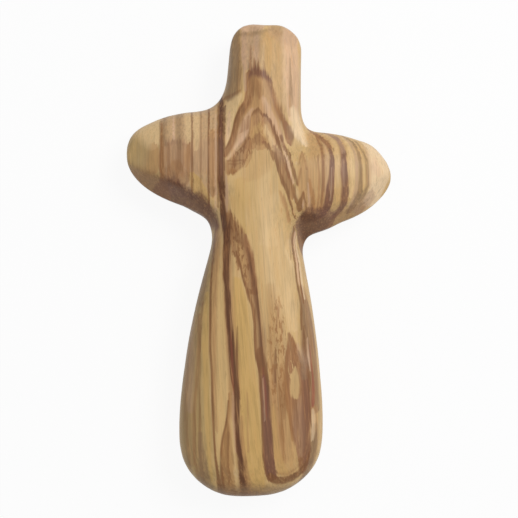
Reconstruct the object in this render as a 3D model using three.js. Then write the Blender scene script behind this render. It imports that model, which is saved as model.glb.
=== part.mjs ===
// A holding cross: a palm-sized cross carved from one block of olive wood.
// A short head and a long shaft with a flared, rounded foot make the upright. Two rounded arms lean
// upwards and meet the upright at different heights, so that fingers fit round them.
// It lies on its back. +X is to the right, +Y towards the head and +Z out of the front.
// The origin is on the flat of the back, under the crossing. Sizes are in millimetres.

import * as THREE from "three";

const thickness = 19; // front to back at the crossing
const backFlatDepth = 0.8; // how far the rounded back is sanded down to the flat it lies on
const backFlatEase = 0.25; // depth over which that flat runs into the rounded sides

// How widely the limbs run into each other in the four inner corners, and how widely the two arms do
// across the upright, as a share of a limb's half width
const fillet = { headLeft: 0.72, headRight: 0.42, footLeft: 0.58, footRight: 0.54, arms: 0.4 };

// In each limb, sectionPower is the shape across it: 2 is an ellipse, 4 is nearly a rectangle.
// Thinning is how much nearer the middle each face lies at its end
const head = {
  length: 38, // from the crossing to the end
  endHalfWidth: 8.6,
  rootHalfWidth: 9.4,
  rootAt: 18, // where the head clears the arms
  offset: 2, // how far its end leans to the right
  endRound: 6.5, // length over which the end rounds off
  endPower: { left: 2.6, right: 2.3 }, // 2 is an elliptical corner, more is squarer
  endSlant: -0.04, // rise of the end for each millimetre to the right
  dipDepth: 0.5, // the shallow dip across its end
  dipHalfWidth: 3,
  sectionPower: 2.8,
  thinning: 1.2,
};

const foot = {
  length: 77.5, // from the crossing to the end
  widestAt: 60.5,
  widestHalfWidth: 17.4,
  neckAt: 15.5,
  neckHalfWidth: 10.8,
  offset: -2.3, // how far its end leans to the left
  endPower: { left: 2.35, right: 2.85 },
  endSlant: 0.05,
  sectionPower: 3,
  thinning: 0.9,
};

const leftArm = {
  toLeft: true,
  reach: 32.5, // from the crossing to the tip, across
  height: 2.5, // where its axis crosses the upright
  halfHeight: { above: 12.5, below: 12 },
  lift: 6.8, // degrees that it leans upwards
  tipPower: 2.05, // 2 is an elliptical tip, more is blunter
  sectionPower: 2.6,
  thinning: 2.6,
};

const rightArm = {
  toLeft: false,
  reach: 32.3,
  height: -2,
  halfHeight: { above: 12.2, below: 11.9 },
  lift: 6,
  tipPower: 1.97,
  sectionPower: 2.6,
  thinning: 2.6,
};

const wood = { colour: 0xc8a472, roughness: 0.45 };

// How finely the skin is divided
const rings = 12; // from the middle of a limb out to its edge
const steps = { arm: 9, head: 8, foot: 26 }; // along each limb
const fans = { arm: 16, head: 16, foot: 24 }; // round the end of each limb

const halfThickness = (thickness + backFlatDepth) / 2;
const middleHeight = halfThickness - backFlatDepth;

// The upright's middle line bends through the crossing and the middles of its two ends
const spineBow = (head.offset / head.length - foot.offset / -foot.length) / (head.length + foot.length);
const spineSlope = head.offset / head.length - spineBow * head.length;

function spineX(y) {
  return spineSlope * y + spineBow * y * y;
}

function uprightHalfWidth(y) {
  if (y > head.rootAt) {
    const share = (y - head.rootAt) / (head.length - head.rootAt);
    return THREE.MathUtils.lerp(head.rootHalfWidth, head.endHalfWidth, share);
  }
  if (y > -foot.neckAt) {
    const share = (y + foot.neckAt) / (head.rootAt + foot.neckAt);
    return THREE.MathUtils.lerp(foot.neckHalfWidth, head.rootHalfWidth, share);
  }
  const share = Math.min(1, (-y - foot.neckAt) / (foot.widestAt - foot.neckAt));
  return THREE.MathUtils.lerp(foot.neckHalfWidth, foot.widestHalfWidth, Math.sin((share * Math.PI) / 2));
}

// A limb's gauge is 0 on its axis and 1 on its outline. Endward grows from 0 to 1 along its rounded end
function limbGauge(across, endward, power) {
  return (Math.abs(across) ** power + Math.max(0, endward) ** power) ** (1 / power);
}

function uprightGauge(x, y) {
  const offAxis = x - spineX(y);
  const across = offAxis / uprightHalfWidth(y);
  const side = offAxis < 0 ? "left" : "right";
  if (y > 0) {
    const dip = head.dipDepth * Math.exp(-((offAxis / head.dipHalfWidth) ** 2));
    const endward = (y - head.endSlant * offAxis + dip - head.length) / head.endRound + 1;
    return limbGauge(across, endward, head.endPower[side]);
  }
  const endward = (-y + foot.endSlant * offAxis - foot.widestAt) / (foot.length - foot.widestAt);
  return limbGauge(across, endward, foot.endPower[side]);
}

// Distances along and across an arm, from where its axis crosses the upright
function armPlace(arm, x, y) {
  const angle = THREE.MathUtils.degToRad(arm.lift);
  const outward = arm.toLeft ? -x : x;
  const above = y - arm.height;
  return {
    along: outward * Math.cos(angle) + above * Math.sin(angle),
    across: above * Math.cos(angle) - outward * Math.sin(angle),
  };
}

function armPoint(arm, along, across) {
  const angle = THREE.MathUtils.degToRad(arm.lift);
  const outward = along * Math.cos(angle) - across * Math.sin(angle);
  const above = along * Math.sin(angle) + across * Math.cos(angle);
  return new THREE.Vector2(arm.toLeft ? -outward : outward, arm.height + above);
}

function armLength(arm) {
  return arm.reach / Math.cos(THREE.MathUtils.degToRad(arm.lift));
}

// How far out from the upright's side a place on an arm lies, as a share of what stands out
function armShare(arm, along) {
  const start = uprightHalfWidth(arm.height);
  return Math.max(0, (along - start) / (armLength(arm) - start));
}

function armGauge(arm, x, y) {
  const { along, across } = armPlace(arm, x, y);
  const inward = -along / uprightHalfWidth(arm.height);
  const endward = along > 0 ? armShare(arm, along) : inward;
  const halfHeight = across > 0 ? arm.halfHeight.above : arm.halfHeight.below;
  return limbGauge(across / halfHeight, endward, arm.tipPower);
}

function filletAt(x, y) {
  const onLeft = x < spineX(y);
  const isAbove = armPlace(onLeft ? leftArm : rightArm, x, y).across > 0;
  if (isAbove) return onLeft ? fillet.headLeft : fillet.headRight;
  return onLeft ? fillet.footLeft : fillet.footRight;
}

// The lesser of two gauges, eased where they are alike, with the share that the first has in it
function easedGauge(first, second, ease) {
  const share = THREE.MathUtils.clamp(0.5 + (second - first) / (2 * ease), 0, 1);
  return { gauge: THREE.MathUtils.lerp(second, first, share) - ease * share * (1 - share), share };
}

// The whole cross: easing fillets the inner corners, and the shape of the section changes over there
function crossAt(x, y) {
  const arms = easedGauge(armGauge(leftArm, x, y), armGauge(rightArm, x, y), fillet.arms).gauge;
  const { gauge, share } = easedGauge(uprightGauge(x, y), arms, filletAt(x, y));
  const uprightPower = (y > 0 ? head : foot).sectionPower;
  const armPower = (x < spineX(y) ? leftArm : rightArm).sectionPower;
  return { gauge: Math.max(0, gauge), power: THREE.MathUtils.lerp(armPower, uprightPower, share) };
}

// Half the thickness before the edges are rounded, which eases off towards the ends of the limbs
function fullness(x, y) {
  const towardsHead = Math.max(0, y / head.length);
  const towardsFoot = Math.max(0, -y / foot.length);
  const arm = x < 0 ? leftArm : rightArm;
  const towardsTip = armShare(arm, armPlace(arm, x, y).along);
  return (
    halfThickness -
    head.thinning * towardsHead ** 2 -
    foot.thinning * towardsFoot ** 2 -
    arm.thinning * towardsTip ** 2
  );
}

function rise(x, y) {
  const { gauge, power } = crossAt(x, y);
  return fullness(x, y) * (1 - Math.min(1, gauge) ** power) ** (1 / power);
}

function frontHeight(x, y) {
  return middleHeight + rise(x, y);
}

function backHeight(x, y) {
  const height = middleHeight - rise(x, y);
  if (height > backFlatEase) return height;
  return Math.max(0, height + backFlatEase) ** 2 / (4 * backFlatEase);
}

// Each limb as the mesh sees it: a line of feet out from the crossing, and the place of its edges.
// The sides are named as seen looking outwards along the limb
function armLimb(arm) {
  const end = armLength(arm);
  const { above, below } = arm.halfHeight;
  const upwards = uprightHalfWidth(head.rootAt);
  const downwards = uprightHalfWidth(-foot.neckAt);
  return {
    steps: steps.arm,
    fans: fans.arm,
    lastFoot: end - above * 0.9,
    end,
    rootRight: arm.toLeft ? upwards : downwards,
    rootLeft: arm.toLeft ? downwards : upwards,
    halfWidth: () => (above + below) / 2,
    foot: (along) => armPoint(arm, along, 0).setY((along / end) * armPoint(arm, along, 0).y),
    point: (along, across) => armPoint(arm, along, arm.toLeft ? -across : across),
  };
}

function uprightLimb(up, part, length, endHalfWidth) {
  const armEdge = (arm) => up * arm.height + (up > 0 ? arm.halfHeight.above : arm.halfHeight.below);
  return {
    steps: steps[part],
    fans: fans[part],
    lastFoot: length - endHalfWidth * 0.9,
    end: length,
    rootRight: armEdge(up > 0 ? rightArm : leftArm),
    rootLeft: armEdge(up > 0 ? leftArm : rightArm),
    halfWidth: (along) => uprightHalfWidth(up * along),
    foot: (along) => new THREE.Vector2(spineX(up * along), up * along),
    point: (along, across) => new THREE.Vector2(spineX(up * along) - up * across, up * along),
  };
}

// The limbs in order round the crossing, anticlockwise from the right
const limbs = [
  armLimb(rightArm),
  uprightLimb(1, "head", head.length, head.endHalfWidth),
  armLimb(leftArm),
  uprightLimb(-1, "foot", foot.length, foot.widestHalfWidth),
];

// The edge of the plan in one direction from a foot
function edgeFrom(start, towards) {
  const way = towards.clone().sub(start);
  let inside = 0;
  let outside = 3;
  for (let i = 0; i < 40; i += 1) {
    const middle = (inside + outside) / 2;
    const place = start.clone().addScaledVector(way, middle);
    if (crossAt(place.x, place.y).gauge < 1) inside = middle;
    else outside = middle;
  }
  return start.clone().addScaledVector(way, inside);
}

// Feet along the spine, and a column from a foot to the edge for each direction round it
function layOut() {
  const feet = [new THREE.Vector2(0, 0)];
  const columns = [];
  const addColumn = (foot, towards) => {
    columns.push({ foot, edge: edgeFrom(feet[foot], towards) });
  };
  limbs.forEach((limb, order) => {
    const before = limbs[(order + limbs.length - 1) % limbs.length];
    const cornerHere = limb.point(limb.rootRight, -limb.halfWidth(limb.rootRight));
    const cornerBefore = before.point(before.rootLeft, before.halfWidth(before.rootLeft));
    addColumn(0, cornerHere.clone().lerp(cornerBefore, 0.5));
    const alongEdge = (root, i) => THREE.MathUtils.lerp(root, limb.lastFoot, (i + 0.5) / (limb.steps + 0.5));

    const first = feet.length;
    for (let i = 1; i <= limb.steps; i += 1) {
      feet.push(limb.foot((limb.lastFoot * i) / limb.steps));
    }
    const last = feet.length - 1;
    for (let foot = first; foot <= last; foot += 1) {
      const along = alongEdge(limb.rootRight, foot - first + 1);
      addColumn(foot, limb.point(along, -limb.halfWidth(along)));
    }
    for (let i = 1; i < limb.fans; i += 1) {
      const angle = (i / limb.fans - 0.5) * Math.PI;
      const along = limb.lastFoot + Math.cos(angle) * (limb.end - limb.lastFoot);
      addColumn(last, limb.point(along, Math.sin(angle) * limb.halfWidth(limb.lastFoot)));
    }
    for (let foot = last; foot >= first; foot -= 1) {
      const along = alongEdge(limb.rootLeft, foot - first + 1);
      addColumn(foot, limb.point(along, limb.halfWidth(along)));
    }
  });
  return { feet, columns };
}

// One face of the cross, from the feet out to the shared edge. Its rings crowd towards the edge, where
// the surface turns over
function addFace(height, { feet, columns }, edge, positions, indices, flip) {
  const addPoint = (place, z) => positions.push(place.x, place.y, z) / 3 - 1;
  const ridge = feet.map((place) => addPoint(place, height(place.x, place.y)));
  const lines = columns.map((column, c) => {
    const line = [ridge[column.foot]];
    for (let ring = 1; ring < rings; ring += 1) {
      const share = Math.sin((ring / rings) * (Math.PI / 2));
      const place = feet[column.foot].clone().lerp(column.edge, share);
      line.push(addPoint(place, height(place.x, place.y)));
    }
    line.push(edge[c]);
    return line;
  });
  const addTriangle = (a, b, c) => {
    if (a !== b && b !== c && c !== a) indices.push(...(flip ? [a, c, b] : [a, b, c]));
  };
  lines.forEach((line, c) => {
    const next = lines[(c + 1) % lines.length];
    for (let ring = 0; ring < rings; ring += 1) {
      addTriangle(line[ring], line[ring + 1], next[ring + 1]);
      addTriangle(line[ring], next[ring + 1], next[ring]);
    }
  });
}

function crossGeometry() {
  const plan = layOut();
  const positions = [];
  const indices = [];
  const edge = plan.columns.map(({ edge: place }) => positions.push(place.x, place.y, middleHeight) / 3 - 1);
  addFace(frontHeight, plan, edge, positions, indices, false);
  addFace(backHeight, plan, edge, positions, indices, true);
  const geometry = new THREE.BufferGeometry();
  geometry.setAttribute("position", new THREE.Float32BufferAttribute(positions, 3));
  geometry.setIndex(indices);
  geometry.computeVertexNormals();
  return geometry;
}

const material = new THREE.MeshStandardMaterial({ color: wood.colour, roughness: wood.roughness, metalness: 0 });
const body = new THREE.Mesh(crossGeometry(), material);
body.name = "cross_body";

const cross = new THREE.Group();
cross.add(body);

export default cross;
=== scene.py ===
import math

import bmesh
import bpy
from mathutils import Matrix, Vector, noise
from mathutils.bvhtree import BVHTree


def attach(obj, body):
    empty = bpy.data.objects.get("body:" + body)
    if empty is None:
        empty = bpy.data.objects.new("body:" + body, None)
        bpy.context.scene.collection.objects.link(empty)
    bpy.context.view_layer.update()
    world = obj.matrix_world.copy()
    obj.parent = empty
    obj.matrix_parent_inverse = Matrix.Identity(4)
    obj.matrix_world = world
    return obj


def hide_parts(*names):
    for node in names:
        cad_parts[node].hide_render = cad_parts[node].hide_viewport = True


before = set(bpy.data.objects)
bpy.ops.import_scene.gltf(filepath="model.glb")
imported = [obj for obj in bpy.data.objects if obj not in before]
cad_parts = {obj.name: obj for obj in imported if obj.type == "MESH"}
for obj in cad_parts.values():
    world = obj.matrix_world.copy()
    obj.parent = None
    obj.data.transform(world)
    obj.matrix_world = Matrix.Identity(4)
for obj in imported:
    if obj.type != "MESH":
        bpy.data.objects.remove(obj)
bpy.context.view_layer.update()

mm = 0.001


# Camera: straight above the cross, which lies on its back
cameraSetup = {
    "lens": 85,
    "sensor": 36,
    "nearest": 10,  # mm from the camera that it starts to see
    "middle": (0, -19.6, 9.1),  # what is in the middle of the picture
    "width": 126.8,  # mm across the picture, at that height
}


def addCamera(setup):
    camera = bpy.data.objects.new("camera", bpy.data.cameras.new("camera"))
    camera.data.lens = setup["lens"]
    camera.data.sensor_width = setup["sensor"]
    camera.data.clip_start = setup["nearest"] * mm
    distance = setup["width"] * setup["lens"] / setup["sensor"]
    camera.location = (Vector(setup["middle"]) + Vector((0, 0, distance))) * mm
    bpy.context.collection.objects.link(camera)
    bpy.context.scene.camera = camera
    print("camera", round(distance), "mm above the cross")


# Shader values


class Wire:
    # One output of a node. Sums on it add Math nodes to its tree
    def __init__(self, tree, socket=None):
        self.tree = tree
        self.socket = socket

    def node(self, kind, settings, inputs, output=0):
        made = self.tree.nodes.new(kind if kind.startswith("Node") else "ShaderNode" + kind)
        for name, value in settings.items():
            if name == "curve":
                fillCurve(made.mapping, *value)
            else:
                setattr(made, name, value)
        for name, value in inputs.items():
            if isinstance(value, Wire):
                self.tree.links.new(value.socket, made.inputs[name])
            else:
                made.inputs[name].default_value = value
        return Wire(self.tree, made.outputs[output]) if made.outputs else None

    def math(self, operation, *values):
        return self.node("Math", {"operation": operation}, dict(enumerate((self,) + values)))

    def __add__(self, other):
        return self.math("ADD", other)

    def __sub__(self, other):
        return self.math("SUBTRACT", other)

    def __rsub__(self, other):
        return self.node("Math", {"operation": "SUBTRACT"}, {0: other, 1: self})

    def __mul__(self, other):
        return self.math("MULTIPLY", other)

    def __truediv__(self, other):
        return self.math("DIVIDE", other)

    def __neg__(self):
        return self.math("MULTIPLY", -1)

    def __abs__(self):
        return self.math("ABSOLUTE")

    __radd__ = __add__
    __rmul__ = __mul__

    # 0 before start and top after end, smooth between them
    def fade(self, start, end, top=1):
        low, high = min(start, end), max(start, end)
        ends = {"To Min": 0, "To Max": top} if start < end else {"To Min": top, "To Max": 0}
        settings = {"interpolation_type": "SMOOTHSTEP", "clamp": False}
        return self.node("MapRange", settings, {"Value": self, "From Min": low, "From Max": high, **ends})


def fillCurve(mapping, bends, points):
    curve = mapping.curves[0]
    while len(curve.points) < len(points):
        curve.points.new(0, 0)
    for point, place in zip(curve.points, points):
        point.location = place
        point.handle_type = bends
    mapping.update()


# A colour as a paint picker gives it, 0 to 255, turned linear by the sRGB curve
def paint(red, green, blue):
    def linear(value):
        value /= 255
        return value / 12.92 if value < 0.04045 else ((value + 0.055) / 1.055) ** 2.4

    return (linear(red), linear(green), linear(blue), 1)


# The colours of the wood, from its palest to its darkest, also used for the painted shade and highlights
# below
tones = {
    "ivory": (228, 200, 162),
    "cream": (216, 184, 136),
    "pink": (212, 174, 142),
    "straw": (200, 166, 112),
    "gold": (196, 158, 94),
    "mauve": (180, 146, 118),
    "olive": (176, 148, 98),
    "honey": (184, 144, 94),
    "tan": (172, 128, 84),
    "amber": (150, 104, 60),
    "grey": (142, 112, 80),
    "russet": (142, 97, 62),
    "umber": (126, 84, 50),
    "red": (146, 76, 58),
    "plum": (118, 78, 60),
    "cocoa": (100, 62, 38),
}

# Where the growth lines run, seen from the front. Each has a tone, how strong it is, how blurred its left
# and right edges are, which of the pulls the fibres have on them, and its points from top to bottom: how far
# right of and above the crossing, and how wide, in mm. Later lines lie over earlier ones
# Some entries here and below are wholly or partly painted shade or painted highlights, each marked where it
# stands
shaftWashes = {
    "left": ("olive", 0.8, 2, 1, 0.4, [(-13, -12, 3), (-14, -25, 5), (-15.5, -40, 7), (-15.7, -60, 8),
        (-15, -78, 9)]),
    # leftEdge: grey wood on the shaft's left edge, darkened further as painted shade where it faces away
    # from the key light
    "leftEdge": ("grey", 0.42, 1, 1, 0.4, [(-13, -22, 1), (-16.4, -40, 3), (-17.7, -55, 3), (-17, -70, 3)]),
    "leftMauve": ("mauve", 0.5, 1, 1, 0.4, [(-16.6, -34, 1.4), (-17, -42, 2.4), (-17, -50, 2.2),
        (-17, -57, 1.6)]),
    "leftShade": ("grey", 0.6, 0.8, 0.8, 0.4, [(-12, -15, 1), (-13.4, -25, 2), (-14.2, -31, 1.6)]),
    "inner": ("straw", 0.6, 1, 1, 0.4, [(-10, -18, 2), (-10, -30, 3), (-9.5, -50, 4), (-8.5, -70, 3)]),
    "gold": ("gold", 0.85, 0.8, 0.8, 0.4, [(-5.4, -24, 1.6), (-4.6, -30, 3.6), (-3.8, -40, 4.6),
        (-2.8, -50, 4.8), (-2.2, -60, 5), (-1, -76, 5.6)]),
    "centre": ("cream", 0.35, 2, 2, 0.7, [(4, -4, 3), (3.5, -14, 6), (4.5, -24, 6), (7.5, -33, 3),
        (8.6, -40, 1.5)]),
    # side: a painted highlight, the cream sheen of the key light on the shaft's right-facing upper side
    "side": ("cream", 0.7, 1.5, 0.8, 0.4, [(7.5, -15, 1.5), (7.6, -24, 3), (8, -32, 3.4), (8.6, -37, 2)]),
    "mottle": ("honey", 0.85, 2, 2, 1.1, [(2.6, -26, 1), (3.4, -33, 3.6), (3.9, -42, 5.2), (4.4, -50, 5.4),
        (6, -66, 6.5), (6.4, -72, 6)]),
    "mottleLow": ("tan", 0.6, 1.5, 1.5, 1.1, [(4.2, -46, 1), (4.6, -52, 4.6), (5.2, -58, 6), (5.8, -64, 5),
        (6.2, -69, 3.6)]),
    "rightEdge": ("plum", 0.7, 0.8, 1, 0.4, [(10.9, -26, 1.2), (11.8, -30, 2.6), (12.8, -36, 4.4),
        (13.2, -42, 5.2), (13.3, -49, 5.6), (13.4, -54, 5.6), (13.8, -57, 4.4)]),
    "lowRight": ("tan", 0.75, 0.6, 1.5, 0.4, [(14, -56, 2.6), (14.2, -62, 2.9), (14, -67, 2.9),
        (13.2, -71, 2.8), (12, -75, 3.4)]),
    "lowRightDark": ("grey", 0.95, 1, 1.5, 0.4, [(14.2, -60, 1.6), (14.2, -64, 2.6), (13.8, -68, 2.9),
        (13, -72, 2.8), (12, -75, 3.4)]),
}

headLines = {
    "leftShade": ("grey", 0.85, 0.8, 1.4, 0.4, [(-6, 38, 2.8), (-6, 30, 3), (-6.2, 25, 3.4),
        (-6.6, 21.5, 3.4), (-7.4, 19.5, 1.8)]),
    "middle": ("mauve", 0.7, 0.5, 2.2, 0.4, [(-1.9, 38, 5), (-1.8, 30, 5), (-1.8, 27, 4.6)]),
    "honey": ("honey", 0.6, 0.8, 0.8, 0.4, [(3.4, 36, 4.8), (3.5, 30, 5), (5.4, 19, 1.6), (6, 16, 0.6)]),
    # right: pink wood on the head's right bevel, lightened as a painted highlight of the key light
    "right": ("pink", 0.8, 1.6, 1, 0.7, [(8.3, 38, 4.6), (8.3, 25, 4.2), (8.2, 18, 3.6), (8.8, 14.5, 3)]),
    # leftDark: a dark line along the head's left crease, partly wood and partly painted shade
    "leftDark": ("umber", 0.4, 0.7, 1, 0.7, [(-4.9, 35.5, 0.7), (-4.9, 25, 1.2), (-4.8, 22, 1.4),
        (-5.2, 20.5, 1)]),
    "leftPale": ("mauve", 0.7, 0.3, 0.5, 0.4, [(-3.7, 36, 1), (-3.7, 30, 1.2), (-3.4, 21.5, 0.6)]),
    "streak": ("russet", 0.7, 0.5, 0.5, 0.4, [(-2.2, 32.5, 0.3), (-2.2, 30, 0.5), (-2.3, 26, 1.3)]),
    "flameOne": ("russet", 0.75, 0.3, 0.3, 0.2, [(-1.2, 29.8, 0.2), (-1.2, 26.6, 0.8)]),
    "flameTwo": ("russet", 0.75, 0.3, 0.3, 0.2, [(-0.3, 29.8, 0.2), (-0.2, 26.6, 0.8)]),
    "flameThree": ("russet", 0.5, 0.4, 0.4, 0.4, [(1, 29, 0.3), (1.5, 25.8, 1)]),
    "paleMiddle": ("pink", 0.5, 0.6, 0.6, 0.4, [(-0.7, 35, 1.2), (-0.7, 31, 1.4), (-0.5, 28.5, 0.6)]),
    "rightDark": ("grey", 0.6, 0.4, 0.4, 0.4, [(7.8, 30, 0.3), (7.7, 20, 0.8), (7.6, 15.5, 0.8)]),
    "rightFaint": ("mauve", 0.5, 0.4, 0.4, 0.4, [(8.8, 31, 0.4), (8.8, 20, 0.4)]),
    # painted highlight: the key light's sheen on the right shoulder, laid on in ivory
    "paintedShoulderSheen": ("ivory", 0.9, 1, 1.6, 0.4, [(8.2, 17.4, 1.4), (9.2, 14.6, 3), (9.8, 12, 3.4),
        (10.6, 9.6, 2.6), (11.4, 8, 1.4)]),
}

archLines = {
    "fill": ("tan", 0.85, 0.8, 0.8, 0.7, [(0, 26.4, 2.6), (0.3, 21.5, 5.2), (0.4, 18, 7.6), (0.5, 14, 9.4),
        (0.4, 11, 11), (0.4, 9, 11), (0, 7.8, 9)]),
    "underApex": ("russet", 0.45, 0.8, 0.8, 0.7, [(-1.4, 25, 1), (-0.8, 23.6, 2.4), (-0.4, 21.6, 2.2),
        (0, 19.6, 1.2)]),
    "fillPale": ("honey", 0.6, 0.8, 0.8, 0.7, [(0.9, 24, 0.6), (1.4, 20, 1.8), (3.8, 15, 1.4),
        (4.6, 12, 1)]),
    "pinkLeg": ("pink", 0.5, 0.8, 0.6, 0.4, [(1, 20, 0.8), (2.6, 16.2, 1.8), (3.5, 14.2, 1.8),
        (5.3, 9.6, 1.2), (6.2, 7, 0.8)]),
    "leftPink": ("pink", 0.55, 0.6, 0.6, 0.7, [(-1.6, 17.4, 0.6), (-2.8, 15, 1.8), (-3.6, 12.4, 2.6),
        (-4.6, 10, 2.2), (-5.6, 8, 1.4)]),
    "wedge": ("cream", 0.85, 0.4, 0.3, 0.2, [(-5.6, 21, 3), (-6.2, 19.6, 3.8), (-6.8, 17.6, 3),
        (-7.5, 10.5, 1.2), (-7.8, 7.6, 0.4)]),
    "wedgePink": ("pink", 0.6, 0.4, 0.4, 0.2, [(-7.2, 16.5, 0.6), (-7.4, 13, 1), (-7.6, 10, 0.7)]),
    "outerLeft": ("russet", 0.9, 0.3, 0.8, 0.4, [(-2.4, 26, 1.7), (-2.4, 22, 1.8), (-2.6, 19.5, 2),
        (-3.7, 17.6, 2.4), (-4.9, 15, 1.8), (-5.6, 12.6, 1.6), (-6.2, 10.2, 1.7), (-7, 8, 2),
        (-8, 5.8, 1.2)]),
    "outerLeftEdge": ("umber", 0.7, 0.3, 0.4, 0.4, [(-3.6, 18.6, 0.3), (-4.7, 17, 0.5), (-5.6, 15, 0.6),
        (-6.6, 10.6, 0.6), (-7.3, 8.8, 0.6), (-8.2, 7.4, 0.5)]),
    "featherOne": ("russet", 0.6, 0.4, 0.4, 0.7, [(-4, 15, 0.3), (-4.1, 13.2, 0.5), (-4.3, 11.4, 0.4)]),
    "featherTwo": ("russet", 0.65, 0.4, 0.4, 0.7, [(-2.7, 15.4, 0.4), (-2.8, 13, 0.6), (-3, 11, 0.4)]),
    "featherThree": ("russet", 0.5, 0.4, 0.4, 0.7, [(-3.4, 14.6, 0.3), (-3.7, 11.2, 0.3)]),
    "outerRight": ("russet", 0.85, 0.6, 0.5, 0.4, [(1.9, 25.2, 1.2), (3.9, 20, 1.6), (5.2, 16, 1.6),
        (6.6, 12.3, 1.4), (7.3, 10, 0.9)]),
    "outerRightEdge": ("amber", 0.85, 0.3, 0.3, 0.4, [(3, 24, 0.5), (4.3, 18.6, 0.6), (5.8, 13.9, 0.6),
        (6.8, 9.6, 0.5), (7.6, 8, 0.4)]),
    "lens": ("russet", 0.85, 0.4, 0.6, 0.4, [(6.3, 14, 0.8), (7, 12.6, 2), (7.4, 11.2, 2.1),
        (7.6, 9.8, 1.6), (7.7, 8.2, 0.7)]),
    "lensGrey": ("grey", 0.5, 0.5, 0.5, 0.7, [(7.2, 13, 1), (7.7, 11, 1.4), (8, 9.6, 0.8)]),
    "secondFill": ("russet", 0.25, 0.8, 0.9, 0.7, [(-0.4, 17, 0.8), (0, 15.6, 3), (0.4, 14.4, 3.6),
        (0.4, 13, 2.4)]),
    "insideHoney": ("gold", 0.45, 1.2, 1.2, 0.7, [(0.4, 14, 1), (0.5, 12, 4), (0.5, 10, 5), (0.2, 8.6, 4)]),
    "secondLeft": ("umber", 0.5, 0.4, 0.4, 0.7, [(-1.2, 16.4, 0.4), (-1.9, 15.2, 0.4), (-2.5, 11.2, 0.5),
        (-3.2, 9.8, 0.6), (-4.6, 8.4, 0.6), (-5.6, 7, 0.5)]),
    "secondRight": ("umber", 0.95, 0.3, 0.4, 0.4, [(0.7, 16.1, 0.9), (2.4, 14.5, 1), (3.5, 12.3, 0.9),
        (4.2, 10.4, 0.9), (5.5, 6.3, 1.1), (6.3, 4.4, 1.1), (7, 1.9, 1), (8.3, -1.7, 0.9),
        (9.3, -6.2, 0.7)]),
    "insidePale": ("cream", 0.55, 0.6, 0.6, 0.4, [(1.4, 13.2, 0.5), (2, 11.4, 1.5), (2.8, 9.6, 1.6),
        (4.2, 6.6, 0.5)]),
    "between": ("russet", 0.8, 0.5, 0.4, 0.4, [(3.6, 8.2, 0.6), (4.5, 6, 1.6), (5.5, 3.6, 2),
        (6.4, 1.2, 1.9), (8.3, -4.5, 0.8)]),
    "thirdRight": ("umber", 0.95, 0.3, 0.4, 0.4, [(1.1, 9.2, 1), (2.4, 7.4, 1.5), (3.5, 5.7, 1.3),
        (4.2, 4, 1), (5.8, -0.4, 1), (6.8, -2.8, 1), (7.6, -5.2, 0.8), (8.4, -8.2, 0.6), (9.2, -9.8, 0.5)]),
    "paleLeg": ("pink", 0.75, 0.4, 0.4, 0.2, [(5.8, 8.4, 0.4), (7.1, 3.8, 0.6), (8.5, -1, 0.4)]),
    "outermost": ("umber", 0.85, 0.3, 0.4, 0.4, [(5.3, 10.8, 0.7), (6, 8.3, 0.9), (7.7, 4.3, 0.9),
        (8.9, 0.4, 0.9), (9.4, -1.6, 0.9)]),
    "backUp": ("umber", 0.65, 0.3, 0.4, 0.2, [(10.2, 2.6, 0.4), (9.5, -1.4, 0.7)]),
    "paleGap": ("cream", 0.7, 0.5, 0.5, 0.2, [(9.2, -2.4, 0.4), (9.5, -3.6, 1), (9.5, -4.8, 0.5)]),
    "lowBrown": ("tan", 0.8, 0.5, 0.4, 0.4, [(5.2, -2.6, 0.4), (6, -5, 0.8), (7.3, -9.6, 1),
        (7.6, -11, 0.5)]),
}

crossingLines = {
    "smudge": ("russet", 0.65, 0.8, 0.8, 0.7, [(0, 10.8, 2), (0, 9.6, 3.6), (0, 8.6, 3.4)]),
    "brownPatch": ("russet", 0.7, 1.2, 0.8, 1.1, [(-2.6, 10.2, 0.8), (-3, 8.6, 2.4), (-3.8, 6.8, 3.8),
        (-4.6, 5.6, 4.4), (-5.4, 4.2, 5.4), (-6, 3, 4.4), (-6.8, 1.6, 2.4)]),
    "patchEdge": ("amber", 0.6, 0.5, 0.2, 0.4, [(-2.1, 9.6, 0.4), (-2.1, 7, 0.6), (-2.2, 5, 0.5),
        (-3.2, 3, 0.4)]),
    "patchStreak": ("umber", 0.5, 0.6, 0.6, 1.1, [(-5.6, 5.6, 0.6), (-5.8, 4.4, 1.2), (-6.2, 3, 1)]),
    "patchPale": ("tan", 0.7, 0.5, 0.5, 0.7, [(-3.2, 7.4, 0.5), (-3.4, 5.6, 0.9), (-3.6, 4.2, 0.5)]),
    "paleSweep": ("pink", 0.5, 0.8, 0.6, 0.4, [(-2.8, 12, 0.6), (-3.9, 10, 1.5), (-5.2, 8.2, 1.5),
        (-6.6, 6.2, 1.2), (-7.6, 5, 0.8)]),
    "sweepDark": ("umber", 0.5, 0.3, 0.3, 0.4, [(-2.2, 10.6, 0.4), (-3.4, 8.6, 0.5), (-5, 6.8, 0.5)]),
    "knotWarm": ("amber", 0.8, 0.8, 0.8, 0.4, [(-6.4, 2.8, 0.8), (-6.4, 2, 2), (-6.4, 1.2, 1.2)]),
    "ovalGold": ("gold", 0.5, 1.5, 2, 0.4, [(-4.4, 0, 3), (-4.6, -5, 4.4), (-5, -9, 3.4), (-3.6, -13, 3)]),
    "ovalPale": ("cream", 0.5, 2, 2, 0.4, [(1.6, 3, 1.5), (1.6, -3, 3.4), (1.8, -9, 4.4), (2.6, -16, 4.4)]),
    "ovalTop": ("honey", 0.4, 2, 2, 0.4, [(0.4, 8.4, 3), (0.2, 6, 7), (-0.4, 3, 8), (-2, 0, 4)]),
}

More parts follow.
